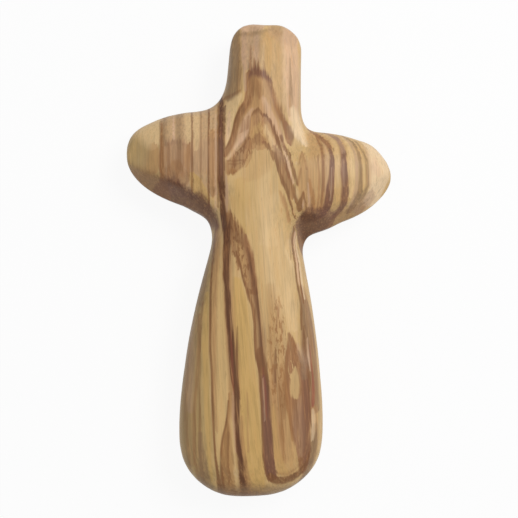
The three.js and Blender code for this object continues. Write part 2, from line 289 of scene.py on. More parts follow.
zigzagLines = {
    "wash": ("tan", 0.65, 1.2, 1.2, 0.7, [(10.6, 6, 1.2), (11, 2, 3), (11.4, -3, 3.6), (11.4, -8, 4)]),
    "secondV": ("umber", 0.8, 0.4, 0.4, 0.4, [(10.9, -2.8, 0.4), (10.7, -4.2, 0.9), (10.2, -5.6, 1.6),
        (10, -7, 1.7), (9.9, -8, 0.9)]),
    "secondPale": ("pink", 0.6, 0.3, 0.3, 0.2, [(10.9, -4.8, 0.2), (10.8, -6.4, 0.5), (10.6, -7.6, 0.3)]),
    "secondVRight": ("umber", 0.7, 0.3, 0.3, 0.2, [(10.9, -3, 0.4), (11.7, -7.6, 0.6)]),
    "tallLine": ("amber", 0.9, 0.4, 0.4, 0.2, [(12.4, 0.4, 0.4), (12.8, -2.4, 0.9), (13.3, -5, 1.1),
        (13.5, -7.6, 1)]),
    "tallPink": ("pink", 0.7, 0.3, 0.3, 0.2, [(12, -1, 0.4), (12.2, -4, 0.7), (12.3, -7, 0.5)]),
    "innerLeft": ("russet", 0.5, 0.3, 0.3, 0.2, [(10.4, 6.4, 0.3), (9.9, 4.6, 0.4), (9.7, 3.4, 0.3)]),
    "innerRight": ("russet", 0.5, 0.3, 0.3, 0.2, [(10.5, 6.6, 0.3), (11.2, 4.6, 0.4), (11.6, 2, 0.4)]),
}

rightArmLines = {
    "base": ("tan", 0.5, 1.2, 0.8, 0.4, [(14.2, 11, 4), (14.8, 4, 5.5), (14.8, -4, 5.5), (14.4, -9, 5)]),
    "middle": ("honey", 0.5, 1, 1, 0.4, [(19, 12, 5), (20, 6, 5), (20, -2, 5.4), (19, -9, 6)]),
    "paleThree": ("cream", 0.4, 0.8, 0.8, 0.4, [(18.2, 11, 1.4), (19.2, 8, 1.2), (19.4, 2, 0.9),
        (19.2, -2, 0.6)]),
    "paleFour": ("cream", 0.55, 0.8, 0.8, 0.4, [(22.6, 10, 1.6), (23, 4, 1.6), (23, -1, 1.5),
        (22.8, -4.5, 1.3)]),
    # tip: pale wood at the right arm's tip, with the key light's sheen painted in as ivory
    "tip": ("ivory", 0.85, 1.2, 1, 0.4, [(30.6, 11, 6), (31.6, 5, 7.6), (31.8, 0, 8), (31.6, -6, 7.6)]),
    "tipPink": ("pink", 0.5, 1, 1, 0.4, [(29.6, 5, 1), (30, 2.6, 3), (30.4, 0.8, 2)]),
    "tipLow": ("mauve", 0.6, 1.5, 1, 0.4, [(29.4, -2.6, 1), (29.6, -4, 5), (29, -6, 6), (28, -8, 6)]),
    "thin": ("russet", 0.8, 0.3, 0.6, 0.2, [(15.2, 10.6, 0.7), (15.7, 5, 0.8), (15.8, 0, 0.9),
        (15.6, -4, 0.9), (15, -8, 0.8)]),
    "thinSecond": ("russet", 0.6, 0.3, 0.3, 0.2, [(14.4, 6, 0.3), (14.8, 1, 0.4), (14.7, -4, 0.5),
        (14.2, -8, 0.5)]),
    "thinPale": ("pink", 0.25, 0.5, 0.5, 0.2, [(16.4, 9, 0.5), (16.7, 4, 0.7), (16.6, 0, 0.5),
        (16.2, -4, 0.3)]),
    "wide": ("plum", 0.95, 0.4, 0.3, 0.4, [(14.4, 12, 1.4), (15.8, 10.6, 1.6), (17, 9, 1.4), (17.7, 7, 1.1),
        (17.9, 4, 1.2), (17.8, 1, 1.5), (17.5, -1.8, 2), (17.2, -4.8, 2.1), (16.6, -7.2, 2.2),
        (15.6, -9.4, 2)]),
    "wideTop": ("tan", 0.55, 0.5, 0.5, 0.4, [(14.2, 12.4, 2), (15.8, 10.6, 2), (17, 9, 1.8),
        (17.6, 7.4, 1)]),
    "wideLight": ("mauve", 0.6, 0.2, 0.2, 0.2, [(17.85, 3, 0.2), (17.65, -3, 0.4), (17.4, -5.5, 0.3)]),
    "broad": ("plum", 0.88, 0.6, 0.4, 0.4, [(18.8, 11.6, 1.4), (20.2, 9.8, 1.5), (20.7, 7.5, 1.3),
        (20.9, 2, 1.8), (21.2, -1.7, 1.9), (21.2, -4.6, 2), (20.7, -7.4, 2), (19.8, -9.6, 2)]),
    "broadTop": ("mauve", 0.6, 0.5, 0.5, 0.4, [(18.8, 11.6, 1.6), (20.2, 9.8, 1.8), (20.8, 7.6, 1.4),
        (21, 6, 0.8)]),
    "broadLight": ("mauve", 0.35, 0.4, 0.4, 0.2, [(20.7, 5, 0.3), (20.8, 1, 0.5), (20.9, -2, 0.4)]),
    "pairLeft": ("mauve", 0.7, 0.5, 0.5, 0.4, [(23, 10, 0.8), (24, 6, 1), (24.2, 1, 1), (24.1, -3, 1.2),
        (23.6, -7, 1.6)]),
    "pairRight": ("grey", 0.85, 0.4, 0.4, 0.4, [(23.4, 10.6, 0.8), (24.8, 7.6, 0.9), (25.2, 4, 1),
        (25.3, 0, 1.1), (25.2, -3, 1.5), (24.6, -6, 2.2), (24, -8, 2.4)]),
    "faint": ("grey", 0.75, 0.5, 0.5, 0.4, [(25.6, 9.5, 0.5), (26.6, 6, 0.7), (27, 2, 0.8), (27.1, -1, 0.9),
        (26.9, -3, 1.2), (26.4, -5.4, 1.4)]),
    "faintSide": ("mauve", 0.5, 0.5, 0.8, 0.4, [(27.4, 8, 1), (27.9, 3, 1.2), (27.9, -2, 1.2)]),
}

leftArmLines = {
    "top": ("mauve", 0.55, 1, 0.8, 0.4, [(-17.4, 18, 14), (-17.4, 2, 14), (-16, -4, 12)]),
    "tipWood": ("olive", 0.5, 2, 0.6, 0.4, [(-29, 16, 9.4), (-29, -6, 9.4)]),
    "tipPale": ("cream", 0.9, 2.5, 0.4, 0.4, [(-27.4, 15, 6.6), (-27, 11, 6), (-26.4, 8.6, 4),
        (-26.2, 7.4, 2)]),
    "tipAmber": ("tan", 0.6, 2, 0.4, 0.4, [(-25.6, 8.6, 1.4), (-25.8, 6, 3.4), (-26, 3.4, 3.6),
        (-25.8, 1.6, 2)]),
    "edge": ("amber", 0.8, 0.2, 0.7, 0.4, [(-23.7, 14, 0.4), (-23.6, 4, 1), (-23.5, 0, 1),
        (-23.4, -2.4, 0.8)]),
    "streakOne": ("russet", 0.6, 0.4, 0.8, 0.7, [(-22.2, 9, 0.4), (-22.2, 5, 0.8), (-22.4, -1.6, 0.5),
        (-22.5, -3, 0.3)]),
    "streakTwo": ("umber", 0.45, 0.6, 0.6, 0.7, [(-19.9, 9.4, 0.6), (-19.6, 6, 1.4), (-19.8, 2.4, 1.3),
        (-19.9, -2, 0.4)]),
    "streakThree": ("amber", 0.6, 0.5, 0.4, 0.7, [(-17.3, 9.4, 0.8), (-17.2, 6, 1.2), (-17.4, 0.4, 0.7),
        (-17.5, -1.4, 0.3)]),
    "streakFour": ("russet", 0.5, 0.4, 0.4, 0.7, [(-18.5, 8.6, 0.3), (-18.4, 5, 0.6), (-18.6, 2, 0.5),
        (-18.6, 0, 0.3)]),
    "streakGrey": ("grey", 0.5, 0.4, 0.4, 0.7, [(-21, 8, 0.4), (-21, 4, 0.7), (-21, 1, 0.4)]),
    "blockRight": ("tan", 0.8, 0.3, 0.3, 0.4, [(-11.2, 12, 1.6), (-11.2, 8, 1.8), (-11.2, 1, 1.8),
        (-11.2, -4, 1.4)]),
    "topGrey": ("grey", 0.55, 0.6, 0.8, 0.4, [(-19.6, 16, 1.4), (-19.6, 11, 1.6), (-19.4, 8.6, 1.6),
        (-19.4, 7, 1)]),
    "topDark": ("grey", 0.6, 0.3, 0.8, 0.4, [(-23, 15, 1), (-23, 10, 1), (-22.8, 8, 0.8)]),
    "topPink": ("pink", 0.8, 0.4, 0.4, 0.4, [(-20.9, 15, 0.5), (-20.9, 9.4, 0.5)]),
    "topPale": ("cream", 0.75, 0.8, 0.3, 0.4, [(-17.5, 16.4, 1.4), (-17.4, 12, 1.6), (-17.4, 8.8, 1.2)]),
    "topPaler": ("cream", 0.6, 0.3, 0.3, 0.4, [(-15.4, 17, 1.4), (-15.4, 12, 1.5), (-15.4, 9, 1.3),
        (-15.4, 7, 0.8)]),
    "lowPale": ("gold", 0.7, 0.5, 0.3, 0.4, [(-16.4, 1.6, 1), (-15.6, 0, 3), (-14.8, -2, 4),
        (-13.8, -4, 3.4), (-12.6, -6, 1)]),
    "paleNook": ("mauve", 0.3, 0.8, 0.5, 0.7, [(-18.8, 1.6, 1), (-18.6, 0.2, 2.2), (-18, -1.4, 2)]),
    "nookBrown": ("amber", 0.45, 1, 1, 1.1, [(-20.6, 4.6, 1), (-20.4, 2.6, 4.4), (-20.2, 0.6, 5.4),
        (-19.6, -1.6, 4)]),
    "tip": ("umber", 0.6, 0.3, 0.5, 0.2, [(-24, 14, 0.8), (-24, 9, 0.5), (-24.1, -2, 0.6)]),
    "fourth": ("umber", 0.75, 0.3, 0.3, 0.2, [(-16.5, 16.4, 0.3), (-16.4, 0, 0.5), (-16.4, -5, 0.5)]),
    "third": ("umber", 0.5, 0.3, 0.4, 0.2, [(-14.3, 17, 0.3), (-14.2, 0, 0.4), (-14, -5, 0.4)]),
    "second": ("umber", 0.9, 0.3, 0.3, 0.2, [(-12.35, 17, 0.5), (-12.35, 0, 0.5), (-12.2, -7, 0.5)]),
    "firstFaint": ("umber", 0.45, 0.3, 0.3, 0.2, [(-11.3, 15, 0.2), (-11.2, -4, 0.2)]),
    "paleStrip": ("pink", 0.5, 0.3, 0.3, 0.2, [(-10.6, 16, 0.4), (-10.6, -8, 0.6)]),
}

rootLines = {
    "halo": ("russet", 0.6, 0.6, 1, 0.4, [(-9.3, 21, 2), (-9, 1, 2), (-8.6, -6, 2), (-7.9, -13, 2.2),
        (-7.6, -26, 2.4), (-6.8, -39, 2.6), (-6.1, -48, 2.8), (-5.4, -60, 1.8), (-4.4, -70, 2.2),
        (-3.2, -78, 2.8)]),
    "haloPale": ("mauve", 0.8, 0.3, 0.3, 0.2, [(-8, 1, 0.4), (-7.9, -2, 0.8), (-7.9, -5.6, 0.8),
        (-7.8, -8, 0.3)]),
    "rootLeft": ("mauve", 0.6, 0.3, 0.3, 0.2, [(-10.4, 13, 0.3), (-10.4, 9, 0.5), (-10.4, 4, 0.3)]),
    "root": ("cocoa", 1, 0.3, 0.5, 0.4, [(-9.2, 20, 1.1), (-9.3, 6, 1.6), (-9.3, 1, 1.6), (-8.9, -6, 1.4),
        (-8.6, -9, 1.8), (-8.1, -11.4, 1.8), (-8, -14, 1.5), (-8, -22, 1.6), (-7.6, -30, 1.5),
        (-7.3, -35, 1.5), (-6.8, -39, 1.5), (-6.2, -48, 1.6), (-5.5, -52, 1.4), (-5.3, -60, 1),
        (-4.6, -70, 1.2), (-3.4, -78, 1.6)]),
    "rootInside": ("plum", 0.6, 0.3, 0.3, 0.2, [(-9.2, 16, 0.3), (-9.2, 8, 0.6), (-9.1, 1, 0.5)]),
    "rootPink": ("red", 0.4, 0.3, 0.3, 0.2, [(-7, -37, 0.2), (-6.6, -44, 0.5), (-6.4, -50, 0.5),
        (-6.2, -53, 0.2)]),
    "rootRight": ("cocoa", 0.85, 0.3, 0.3, 0.2, [(-8.3, 18, 0.3), (-8.4, 2, 0.2)]),
    "rootLow": ("cocoa", 0.8, 0.3, 0.4, 0.2, [(-5.3, -36, 0.2), (-5.4, -42, 0.5), (-5.1, -49, 0.6),
        (-4.7, -54, 0.4)]),
    "beside": ("umber", 0.75, 0.3, 0.3, 0.2, [(-10, 18, 0.4), (-10.1, 0, 0.4), (-10, -7, 0.4)]),
}

shaftLines = {
    "wedgeBrown": ("russet", 0.75, 0.5, 0.9, 0.7, [(-7.6, -7.6, 0.6), (-7.2, -9, 2), (-6.4, -11, 3.4),
        (-5.1, -14.5, 4.8), (-4, -17.7, 4.8), (-2.8, -21.7, 3.9), (-1.7, -26, 2.8), (-0.9, -30.4, 2.2),
        (-0.2, -34.8, 2), (0.6, -44.6, 2.1), (1.3, -52, 2.5), (1.5, -57, 2.5), (1.7, -60, 2.2),
        (1.95, -63, 2.4), (3, -73.6, 2.6)]),
    "wedgeTop": ("umber", 0.5, 0.8, 0.8, 1.1, [(-7.2, -8.6, 0.8), (-6.6, -10.6, 1.8), (-5.6, -13.4, 2.6),
        (-4.4, -16.5, 2)]),
    "wedgeRight": ("russet", 0.8, 0.5, 0.4, 0.7, [(-3.2, -13.5, 0.8), (-2.9, -16, 1.8), (-2, -19, 1.4),
        (-1.6, -22, 1.8), (-1.1, -25, 1.8), (-0.8, -28, 1.6)]),
    "wedgeStreak": ("honey", 0.75, 0.5, 0.5, 0.7, [(-5.3, -15.4, 0.5), (-4.6, -17.2, 1.2),
        (-3.9, -19.2, 1.1), (-3.1, -20.9, 0.5)]),
    "wedgePale": ("honey", 0.7, 0.5, 0.5, 0.7, [(-5.8, -15.4, 0.4), (-4.5, -18.4, 1), (-3.6, -21.5, 0.9),
        (-2.6, -25, 0.5)]),
    "wedgeEdge": ("umber", 0.9, 0.3, 0.4, 0.4, [(-5.6, -17.5, 0.4), (-4.65, -20.8, 0.6), (-3.7, -24.7, 0.6),
        (-2.7, -27.2, 0.7), (-2.2, -29.4, 0.8), (-1.5, -31.1, 0.8), (-1.1, -33.5, 0.7), (-0.8, -40.6, 0.6),
        (-0.5, -43.3, 0.7), (0, -45.8, 0.7), (0.25, -48, 0.5), (0.75, -61.4, 0.6), (1.8, -71.2, 0.9),
        (2.4, -73.6, 1)]),
    "wedgeCore": ("cocoa", 0.85, 0.5, 0.5, 0.4, [(-2.7, -16.5, 0.3), (-1.8, -21.7, 0.9), (-1.2, -24.4, 1),
        (-0.5, -29.6, 1.1), (0.1, -35, 0.7), (0.4, -40.6, 0.7), (0.6, -43.1, 1.1), (1, -45.5, 1.4),
        (1.95, -50.4, 0.9), (2.1, -54, 0.8), (2.7, -61.4, 0.7), (3, -64.5, 0.5)]),
    "wedgeKnot": ("umber", 0.75, 0.5, 0.5, 0.7, [(0.2, -41.5, 1.2), (0.3, -43.5, 1.8), (0.7, -45.5, 2),
        (1.3, -48, 1.4), (1.7, -50.5, 0.8)]),
    "bandPlum": ("plum", 0.92, 0.5, 0.4, 0.4, [(1, -48, 0.8), (1.3, -51, 1.4), (1.8, -59, 2),
        (2.3, -64, 2.3), (2.6, -68.8, 2.4), (2.9, -71.2, 2.4), (3.5, -73.2, 2.4)]),
    "pinkLine": ("pink", 0.45, 0.3, 0.3, 0.2, [(1, -48.5, 0.2), (1.1, -51, 0.4), (1.4, -59.5, 0.2)]),
    "redLine": ("red", 0.35, 0.3, 0.3, 0.2, [(1, -46, 0.3), (1.5, -52, 0.5), (1.8, -58, 0.4)]),
    "fleckOne": ("russet", 0.6, 0.4, 0.4, 0.7, [(5.2, -29.5, 0.3), (4.9, -32, 0.6), (4.4, -35, 0.6),
        (4, -38, 0.3)]),
    "fleckTwo": ("russet", 0.55, 0.4, 0.4, 0.7, [(2.2, -36, 0.3), (2.7, -39, 0.6), (3, -43, 0.6),
        (3.6, -47, 0.8), (3.9, -51, 0.4)]),
    "shortDark": ("umber", 0.7, 0.3, 0.3, 0.4, [(3.9, -42, 0.3), (3.9, -46, 0.5), (3.9, -50, 0.4)]),
    "longTan": ("amber", 0.75, 0.4, 0.5, 0.7, [(4.8, -50, 0.3), (5, -54, 0.5), (5.3, -60, 0.5),
        (5.6, -63, 0.8), (6.2, -69, 0.3)]),
    "insideGold": ("gold", 0.4, 0.6, 0.6, 0.4, [(3.4, -55, 0.6), (3.8, -60, 1.3), (4.1, -65, 1.5),
        (5.4, -70, 2.4), (6.2, -72, 2.6)]),
    "insidePale": ("straw", 0.25, 0.6, 0.6, 0.4, [(6.6, -57, 0.5), (7, -62, 1), (7.2, -67, 1.4),
        (7.4, -71, 1.2)]),
    "insideBrown": ("amber", 0.6, 0.6, 0.6, 0.7, [(5.6, -45, 0.4), (5.9, -48, 1), (6, -52, 1.4),
        (5.9, -56, 0.9), (6, -59, 0.4)]),
    "patch": ("russet", 0.95, 0.5, 0.6, 0.7, [(7.3, -37.6, 0.6), (7.95, -39.6, 2.2), (8.4, -42, 3.6),
        (8.8, -44.3, 5.2), (9.3, -46.8, 6.2), (9.5, -51.6, 6.4), (9.6, -54.1, 6.2), (10, -56.5, 5.9),
        (10.3, -61.4, 5), (11, -66.3, 3.7), (11.2, -68.8, 3.2), (11.2, -71.5, 2.4)]),
    "patchPale": ("mauve", 0.5, 0.6, 0.6, 0.4, [(9.8, -40, 0.6), (10.1, -42.5, 1.2), (10.5, -45, 0.8)]),
    "patchMauve": ("mauve", 0.3, 0.8, 0.8, 1.1, [(10, -53, 0.4), (9.8, -55.5, 1.6), (9.9, -60, 3),
        (10.1, -64, 2.4), (10.4, -68, 1.2)]),
    "patchStreak": ("umber", 0.45, 0.4, 0.4, 0.7, [(9, -55, 0.3), (9.2, -58, 0.6), (9.9, -66, 0.3)]),
    "patchLeft": ("amber", 0.8, 0.3, 0.8, 0.4, [(6.9, -42, 0.5), (6.6, -47, 0.9), (6.7, -52, 1.2),
        (6.9, -55.5, 1.2), (7.4, -58, 0.9), (8.2, -64, 0.4)]),
    "patchDark": ("plum", 0.6, 0.8, 0.6, 0.7, [(10.8, -46, 1), (11.6, -52, 1.8), (11.5, -57, 2.2),
        (11.9, -66, 2.3), (11.9, -70, 1.8)]),
    "patchGrey": ("grey", 0.6, 0.5, 0.5, 0.7, [(10, -42, 0.8), (10.9, -45, 1.6), (11.3, -49, 1.2)]),
    "island": ("straw", 0.85, 0.4, 0.5, 0.4, [(8.9, -46, 0.5), (8.8, -48, 1.8), (8.8, -50.4, 2.3),
        (8.8, -52.4, 2.1), (9, -54, 0.9)]),
    "edgeLine": ("umber", 0.85, 0.3, 0.4, 0.4, [(8.9, -11.5, 0.8), (8.7, -14, 1.1), (8.55, -16.2, 0.9),
        (8.8, -20.3, 0.7), (9.3, -24.7, 0.6), (10.3, -29.6, 0.7), (10.65, -34, 0.4), (10.7, -37, 0.3)]),
    "edgeFine": ("umber", 0.55, 0.3, 0.3, 0.2, [(7.9, -13, 0.3), (7.7, -16, 0.3), (7.7, -20, 0.2)]),
    "edgeSecond": ("russet", 0.8, 0.2, 0.2, 0.2, [(9.6, -17, 0.3), (9.8, -21, 0.4), (10.7, -27.5, 0.4),
        (11.2, -31, 0.3)]),
    "edgePale": ("pink", 0.85, 0.3, 0.2, 0.2, [(9.5, -13, 0.8), (9.3, -16, 0.6), (9.6, -22.5, 0.5),
        (10.1, -26, 0.4)]),
    "edgeWhite": ("ivory", 0.7, 0.2, 0.4, 0.2, [(10.3, -14, 0.6), (10.2, -18, 0.7), (10.5, -22, 0.8),
        (11, -25.5, 0.8), (11.6, -29.5, 0.5)]),
    "edgeDark": ("umber", 0.75, 0.4, 0.5, 0.4, [(11.3, -36, 0.4), (11.6, -41.9, 0.8), (12.3, -46.8, 0.8),
        (12.6, -49.2, 0.7), (12.7, -52, 0.5)]),
    "edgePink": ("pink", 0.7, 0.3, 0.3, 0.2, [(12.3, -39, 0.3), (12.75, -44.5, 0.4), (13, -47.4, 0.3)]),
    "edgeRed": ("red", 0.7, 0.3, 0.3, 0.4, [(13, -40.5, 0.3), (13.45, -45.5, 0.5), (13.7, -49, 0.6),
        (13.8, -52, 1.2), (13.7, -54.6, 1.2), (13.5, -56, 0.5)]),
    "lowEdge": ("ivory", 0.5, 0.4, 0.5, 0.4, [(13.6, -56.4, 0.8), (13.8, -59, 1.5), (13.8, -61.5, 1.3),
        (13.6, -64, 0.6)]),
    "thin": ("umber", 0.9, 0.3, 0.3, 0.2, [(-10.5, -12, 0.6), (-10.9, -16, 0.8), (-11.6, -23, 0.6),
        (-11.9, -31, 0.6), (-11.9, -41, 0.6), (-11.5, -48, 0.7), (-11.1, -62, 0.6), (-10.5, -70, 0.6),
        (-9.7, -75.5, 1.1), (-9.3, -78, 1.4)]),
    "thinSide": ("tan", 0.75, 0.3, 0.8, 0.2, [(-10.2, -11, 0.8), (-10.2, -17, 1.3), (-10.8, -25, 1.3),
        (-11, -41, 1.1), (-10.8, -55, 0.7), (-10.4, -62, 0.5)]),
    "leftOne": ("umber", 0.55, 0.4, 0.4, 0.4, [(-13.7, -30, 0.4), (-14.3, -38, 0.6), (-14.6, -46, 0.5),
        (-14.5, -66, 0.8), (-14.1, -71, 0.8), (-13.2, -76, 0.8)]),
    "leftTwo": ("russet", 0.6, 0.5, 0.5, 0.4, [(-14.6, -33, 0.6), (-15.3, -50, 0.8), (-15.8, -58, 0.9),
        (-15.8, -66, 0.8), (-14.6, -75, 0.7)]),
    "leftThree": ("russet", 0.35, 0.5, 0.5, 0.4, [(-16.6, -40, 0.4), (-17.6, -48, 0.7), (-18, -57, 0.9),
        (-17.4, -66, 0.8), (-16.8, -72, 0.8)]),
    "leftLow": ("grey", 0.75, 1, 0.8, 0.4, [(-14.4, -62, 0.8), (-14.1, -67, 1.8), (-13.7, -71, 2.4),
        (-13.2, -74, 2.8), (-12.2, -77, 3)]),
    "leftGold": ("gold", 0.6, 0.5, 0.5, 0.4, [(-12.9, -28, 0.8), (-13.1, -40, 1.6), (-12.6, -60, 1.3),
        (-12.4, -66, 1.2), (-12, -71, 1), (-11.6, -74, 0.5)]),
    "feather": ("amber", 0.8, 0.3, 0.7, 0.4, [(-7.2, -52, 0.5), (-7.3, -56.5, 0.9), (-7.6, -59, 1.1),
        (-7.7, -61.4, 1.5), (-8, -64, 2.2), (-8, -66.3, 2.6), (-7.8, -68.8, 2.9), (-7.8, -71.2, 3),
        (-7, -77.5, 3.4)]),
    "featherPale": ("honey", 0.7, 0.4, 0.4, 0.4, [(-6.9, -61, 0.4), (-6.9, -66, 0.9), (-6.8, -70, 0.9),
        (-6.4, -74, 0.6)]),
    "featherPink": ("pink", 0.7, 0.4, 0.4, 0.2, [(-6.3, -52, 0.4), (-6.2, -57, 0.8), (-5.7, -67, 0.3)]),
    "featherDark": ("umber", 0.5, 0.4, 0.4, 0.4, [(-7.7, -62, 0.3), (-7.7, -66, 0.6), (-7.3, -75, 0.5)]),
    "featherEdge": ("umber", 0.8, 0.3, 0.3, 0.2, [(-7.5, -54, 0.4), (-8.2, -60.2, 0.5), (-8.9, -63, 0.5),
        (-9.3, -66.3, 0.5), (-9.4, -69, 0.5), (-8.8, -77, 1.4)]),
    "besideRoot": ("tan", 0.65, 0.4, 0.8, 0.4, [(-4.2, -58, 0.5), (-3.7, -68, 1.2), (-2.4, -77, 1.8)]),
    "goldStreak": ("tan", 0.6, 0.3, 0.3, 0.4, [(-2.9, -52, 0.3), (-2.8, -60, 0.5), (-2.6, -67, 0.4)]),
}

# What the fleck noise breaks up into short dashes
fleckLines = {
    "mottle": ("amber", 0.75, 1.2, 1.2, 0.7, [(4.6, -28.5, 1), (4.6, -32, 2.6), (4.3, -37, 4.2),
        (4.3, -43, 5), (4.6, -49, 4.8), (5, -54, 3.2), (5.2, -57, 1)]),
    "wedge": ("umber", 0.75, 0.8, 0.8, 0.7, [(-7, -9, 2.4), (-6.4, -11, 3), (-5.4, -14, 5),
        (-4.8, -17, 5.4), (-3.6, -20, 4.4), (-1.6, -28, 1.8)]),
    "patch": ("straw", 0.8, 0.4, 0.4, 0.4, [(7.9, -44.4, 0.8), (8, -46.6, 1.6), (8.2, -48.6, 1)]),
    "crossing": ("umber", 0.7, 0.8, 0.8, 0.7, [(-2.6, 10, 2), (-3.8, 6.6, 4.4), (-5.4, 3.4, 3.6),
        (-6.4, 1.6, 1.6)]),
    "second": ("russet", 0.4, 0.8, 0.8, 0.7, [(0, 16, 2), (0.4, 13, 4.4), (0.4, 10, 4.4), (0.2, 8.4, 3)]),
}

# The same the other way about, for what runs across: the blur of the lower and upper edges, and then points
# of how far above, how far right and how high
blockLines = {
    "block": ("tan", 0.85, 1, 2, 0.7, [(4.8, -24, 8.8), (5, -20.4, 9.2), (5.2, -16.9, 8.6)]),
    "blockTop": ("russet", 0.5, 0.5, 1, 0.7, [(8.6, -23.6, 0.8), (8.8, -21, 1.2), (8.9, -19, 1.2),
        (8.8, -16.9, 0.9)]),
    "blockRight": ("tan", 0.55, 1, 2, 0.4, [(5.4, -16.6, 8.4), (5.6, -14, 8.6), (5.6, -10.8, 8.8)]),
}

acrossLines = {
    "outerTop": ("plum", 0.88, 1, 1.4, 1.1, [(24.6, -2.6, 0.8), (25.8, -2, 2), (26.3, -1.2, 2.5),
        (25.7, 1, 2.1), (24.9, 2.2, 1.8), (23.9, 2.9, 1.3)]),
    "headEnd": ("mauve", 0.45, 1.5, 1.5, 0.4, [(36.6, 2.6, 3), (36, 5.4, 5), (35.4, 9.6, 6)]),
    # painted shade along the crease of the head's top end face
    "headCreaseShade": ("grey", 0.5, 0.8, 0.5, 0.4, [(35.3, -4.8, 0.8), (35.5, -2, 1), (35.9, 0.7, 0.9),
        (36.8, 2.6, 0.5)]),
    "headTop": ("pink", 0.6, 0.5, 1, 0.4, [(37.4, -4.2, 2.6), (37.2, 0, 1.8), (37.4, 1.2, 1.2)]),
    "secondTop": ("umber", 0.75, 0.9, 0.4, 0.7, [(16, -1.7, 0.6), (16.6, -0.9, 1), (16.8, -0.3, 1.2),
        (16.4, 0.5, 0.9), (15.8, 1.1, 0.8)]),
    "turn": ("umber", 0.9, 0.5, 0.4, 0.4, [(-72.9, 2.6, 2.4), (-73.6, 3.9, 2.1), (-73.8, 5.1, 2),
        (-73.5, 7.1, 1.8), (-72.7, 9.05, 1.8), (-71.4, 10.8, 2), (-69.8, 12, 2.4), (-67.6, 12.7, 2.4)]),
    "turnAbove": ("russet", 0.4, 0.6, 0.6, 0.4, [(-71.8, 4.4, 0.5), (-72.2, 6.4, 0.6), (-71.2, 8.6, 0.6),
        (-69.6, 10.2, 0.5)]),
    # bottom and the darker line under it: partly a dark root line and partly painted shade on the foot's
    # down-facing end
    "bottom": ("grey", 0.7, 1.5, 1.5, 0.4, [(-78.6, -14.5, 4.4), (-78, -6, 5.6), (-77.9, 0, 5.6),
        (-77.6, 5, 5), (-77, 9.5, 5), (-75, 13, 5)]),
    "bottomShadeDark": ("umber", 0.6, 0.8, 1, 0.4, [(-79.2, -9.4, 4), (-78.8, -5, 4.4), (-78.8, -1, 4.4),
        (-79.2, 3, 4)]),
    "featherOne": ("umber", 0.6, 0.4, 0.4, 0.2, [(4.6, -7.8, 0.3), (4.5, -5.5, 0.4), (4.6, -3.2, 0.3)]),
    "featherTwo": ("umber", 0.5, 0.4, 0.4, 0.2, [(3.8, -7.6, 0.3), (3.7, -5.8, 0.4), (3.9, -4.2, 0.3)]),
    # leftUnder: dark wood under the left arm, deepened as painted shade on its down-facing side
    "leftUnder": ("plum", 0.88, 1.3, 1.9, 1.1, [(-9.6, -27.6, 6), (-8.8, -26, 12), (-8.4, -24.2, 17),
        (-8.2, -20.3, 16.8), (-9.2, -18.6, 16), (-9.1, -16.1, 12), (-7.9, -13.7, 8), (-9, -12.2, 6.2),
        (-9.9, -11, 5), (-11, -10.2, 3)]),
    # painted shade along the crease under the left arm's front
    "leftCreaseShade": ("cocoa", 0.5, 1.4, 0.6, 0.4, [(-0.8, -24, 1.4), (-1.4, -20.3, 1.6), (-3, -18.6, 1.8),
        (-4.5, -16.1, 2), (-6.4, -13.7, 2.2), (-8.4, -11.6, 2.2), (-10.2, -10.6, 2)]),
    # painted shade on the down-facing lower facet of the left arm's tip
    "leftTipUnderShade": ("russet", 0.72, 2, 2.4, 0.7, [(-4.9, -32, 16), (-5.4, -29, 16), (-6.2, -26, 16),
        (-7.2, -24, 15), (-8.4, -22, 12)]),
    # rightUnder and the two after it: dark wood under the right arm, partly painted shade on its down-facing
    # side
    "rightUnder": ("plum", 0.8, 1.2, 1.4, 1.1, [(-11, 9.6, 3), (-11.2, 10.6, 5.2), (-11.6, 11.5, 8.2),
        (-12.5, 12.5, 11.5), (-13.3, 15, 12.6), (-13.6, 17, 12.4), (-13.6, 19, 10.8), (-13.6, 21, 8.8)]),
    "rightUnderShadeCore": ("cocoa", 0.6, 1.4, 1.4, 0.7, [(-10.6, 10.6, 2.6), (-11, 12.4, 5), (-12, 15, 7),
        (-12.4, 17.6, 6), (-12, 19.4, 4)]),
    "rightUnderShadeOut": ("umber", 0.5, 1.4, 2, 1.1, [(-12.4, 20, 9), (-12, 22.5, 10), (-10.6, 25, 9.4),
        (-8.8, 27.6, 7), (-7.4, 29.6, 3.6)]),
    "knot": ("cocoa", 0.85, 0.9, 0.9, 0.4, [(-9.2, 10.4, 1), (-9.4, 11.8, 2.6), (-9.4, 13.2, 2),
        (-9.8, 15, 1)]),
    # wedgeTop: painted shade in the corner where the head's left side meets the left arm
    "wedgeTop": ("umber", 0.5, 0.5, 0.3, 0.2, [(19.6, -8.6, 0.8), (20.6, -6.4, 1), (21.6, -4.6, 0.8)]),
}

# How far right the fibres lean: how far above the crossing, and how far right, in mm
fibreLean = [(40, 0), (20, 0), (-5, 0.7), (-15, 1.4), (-25, 1.9), (-35, 2.7), (-45, 3.4), (-53, 4.1),
             (-63, 4.8), (-70, 5.4), (-77, 6.9)]

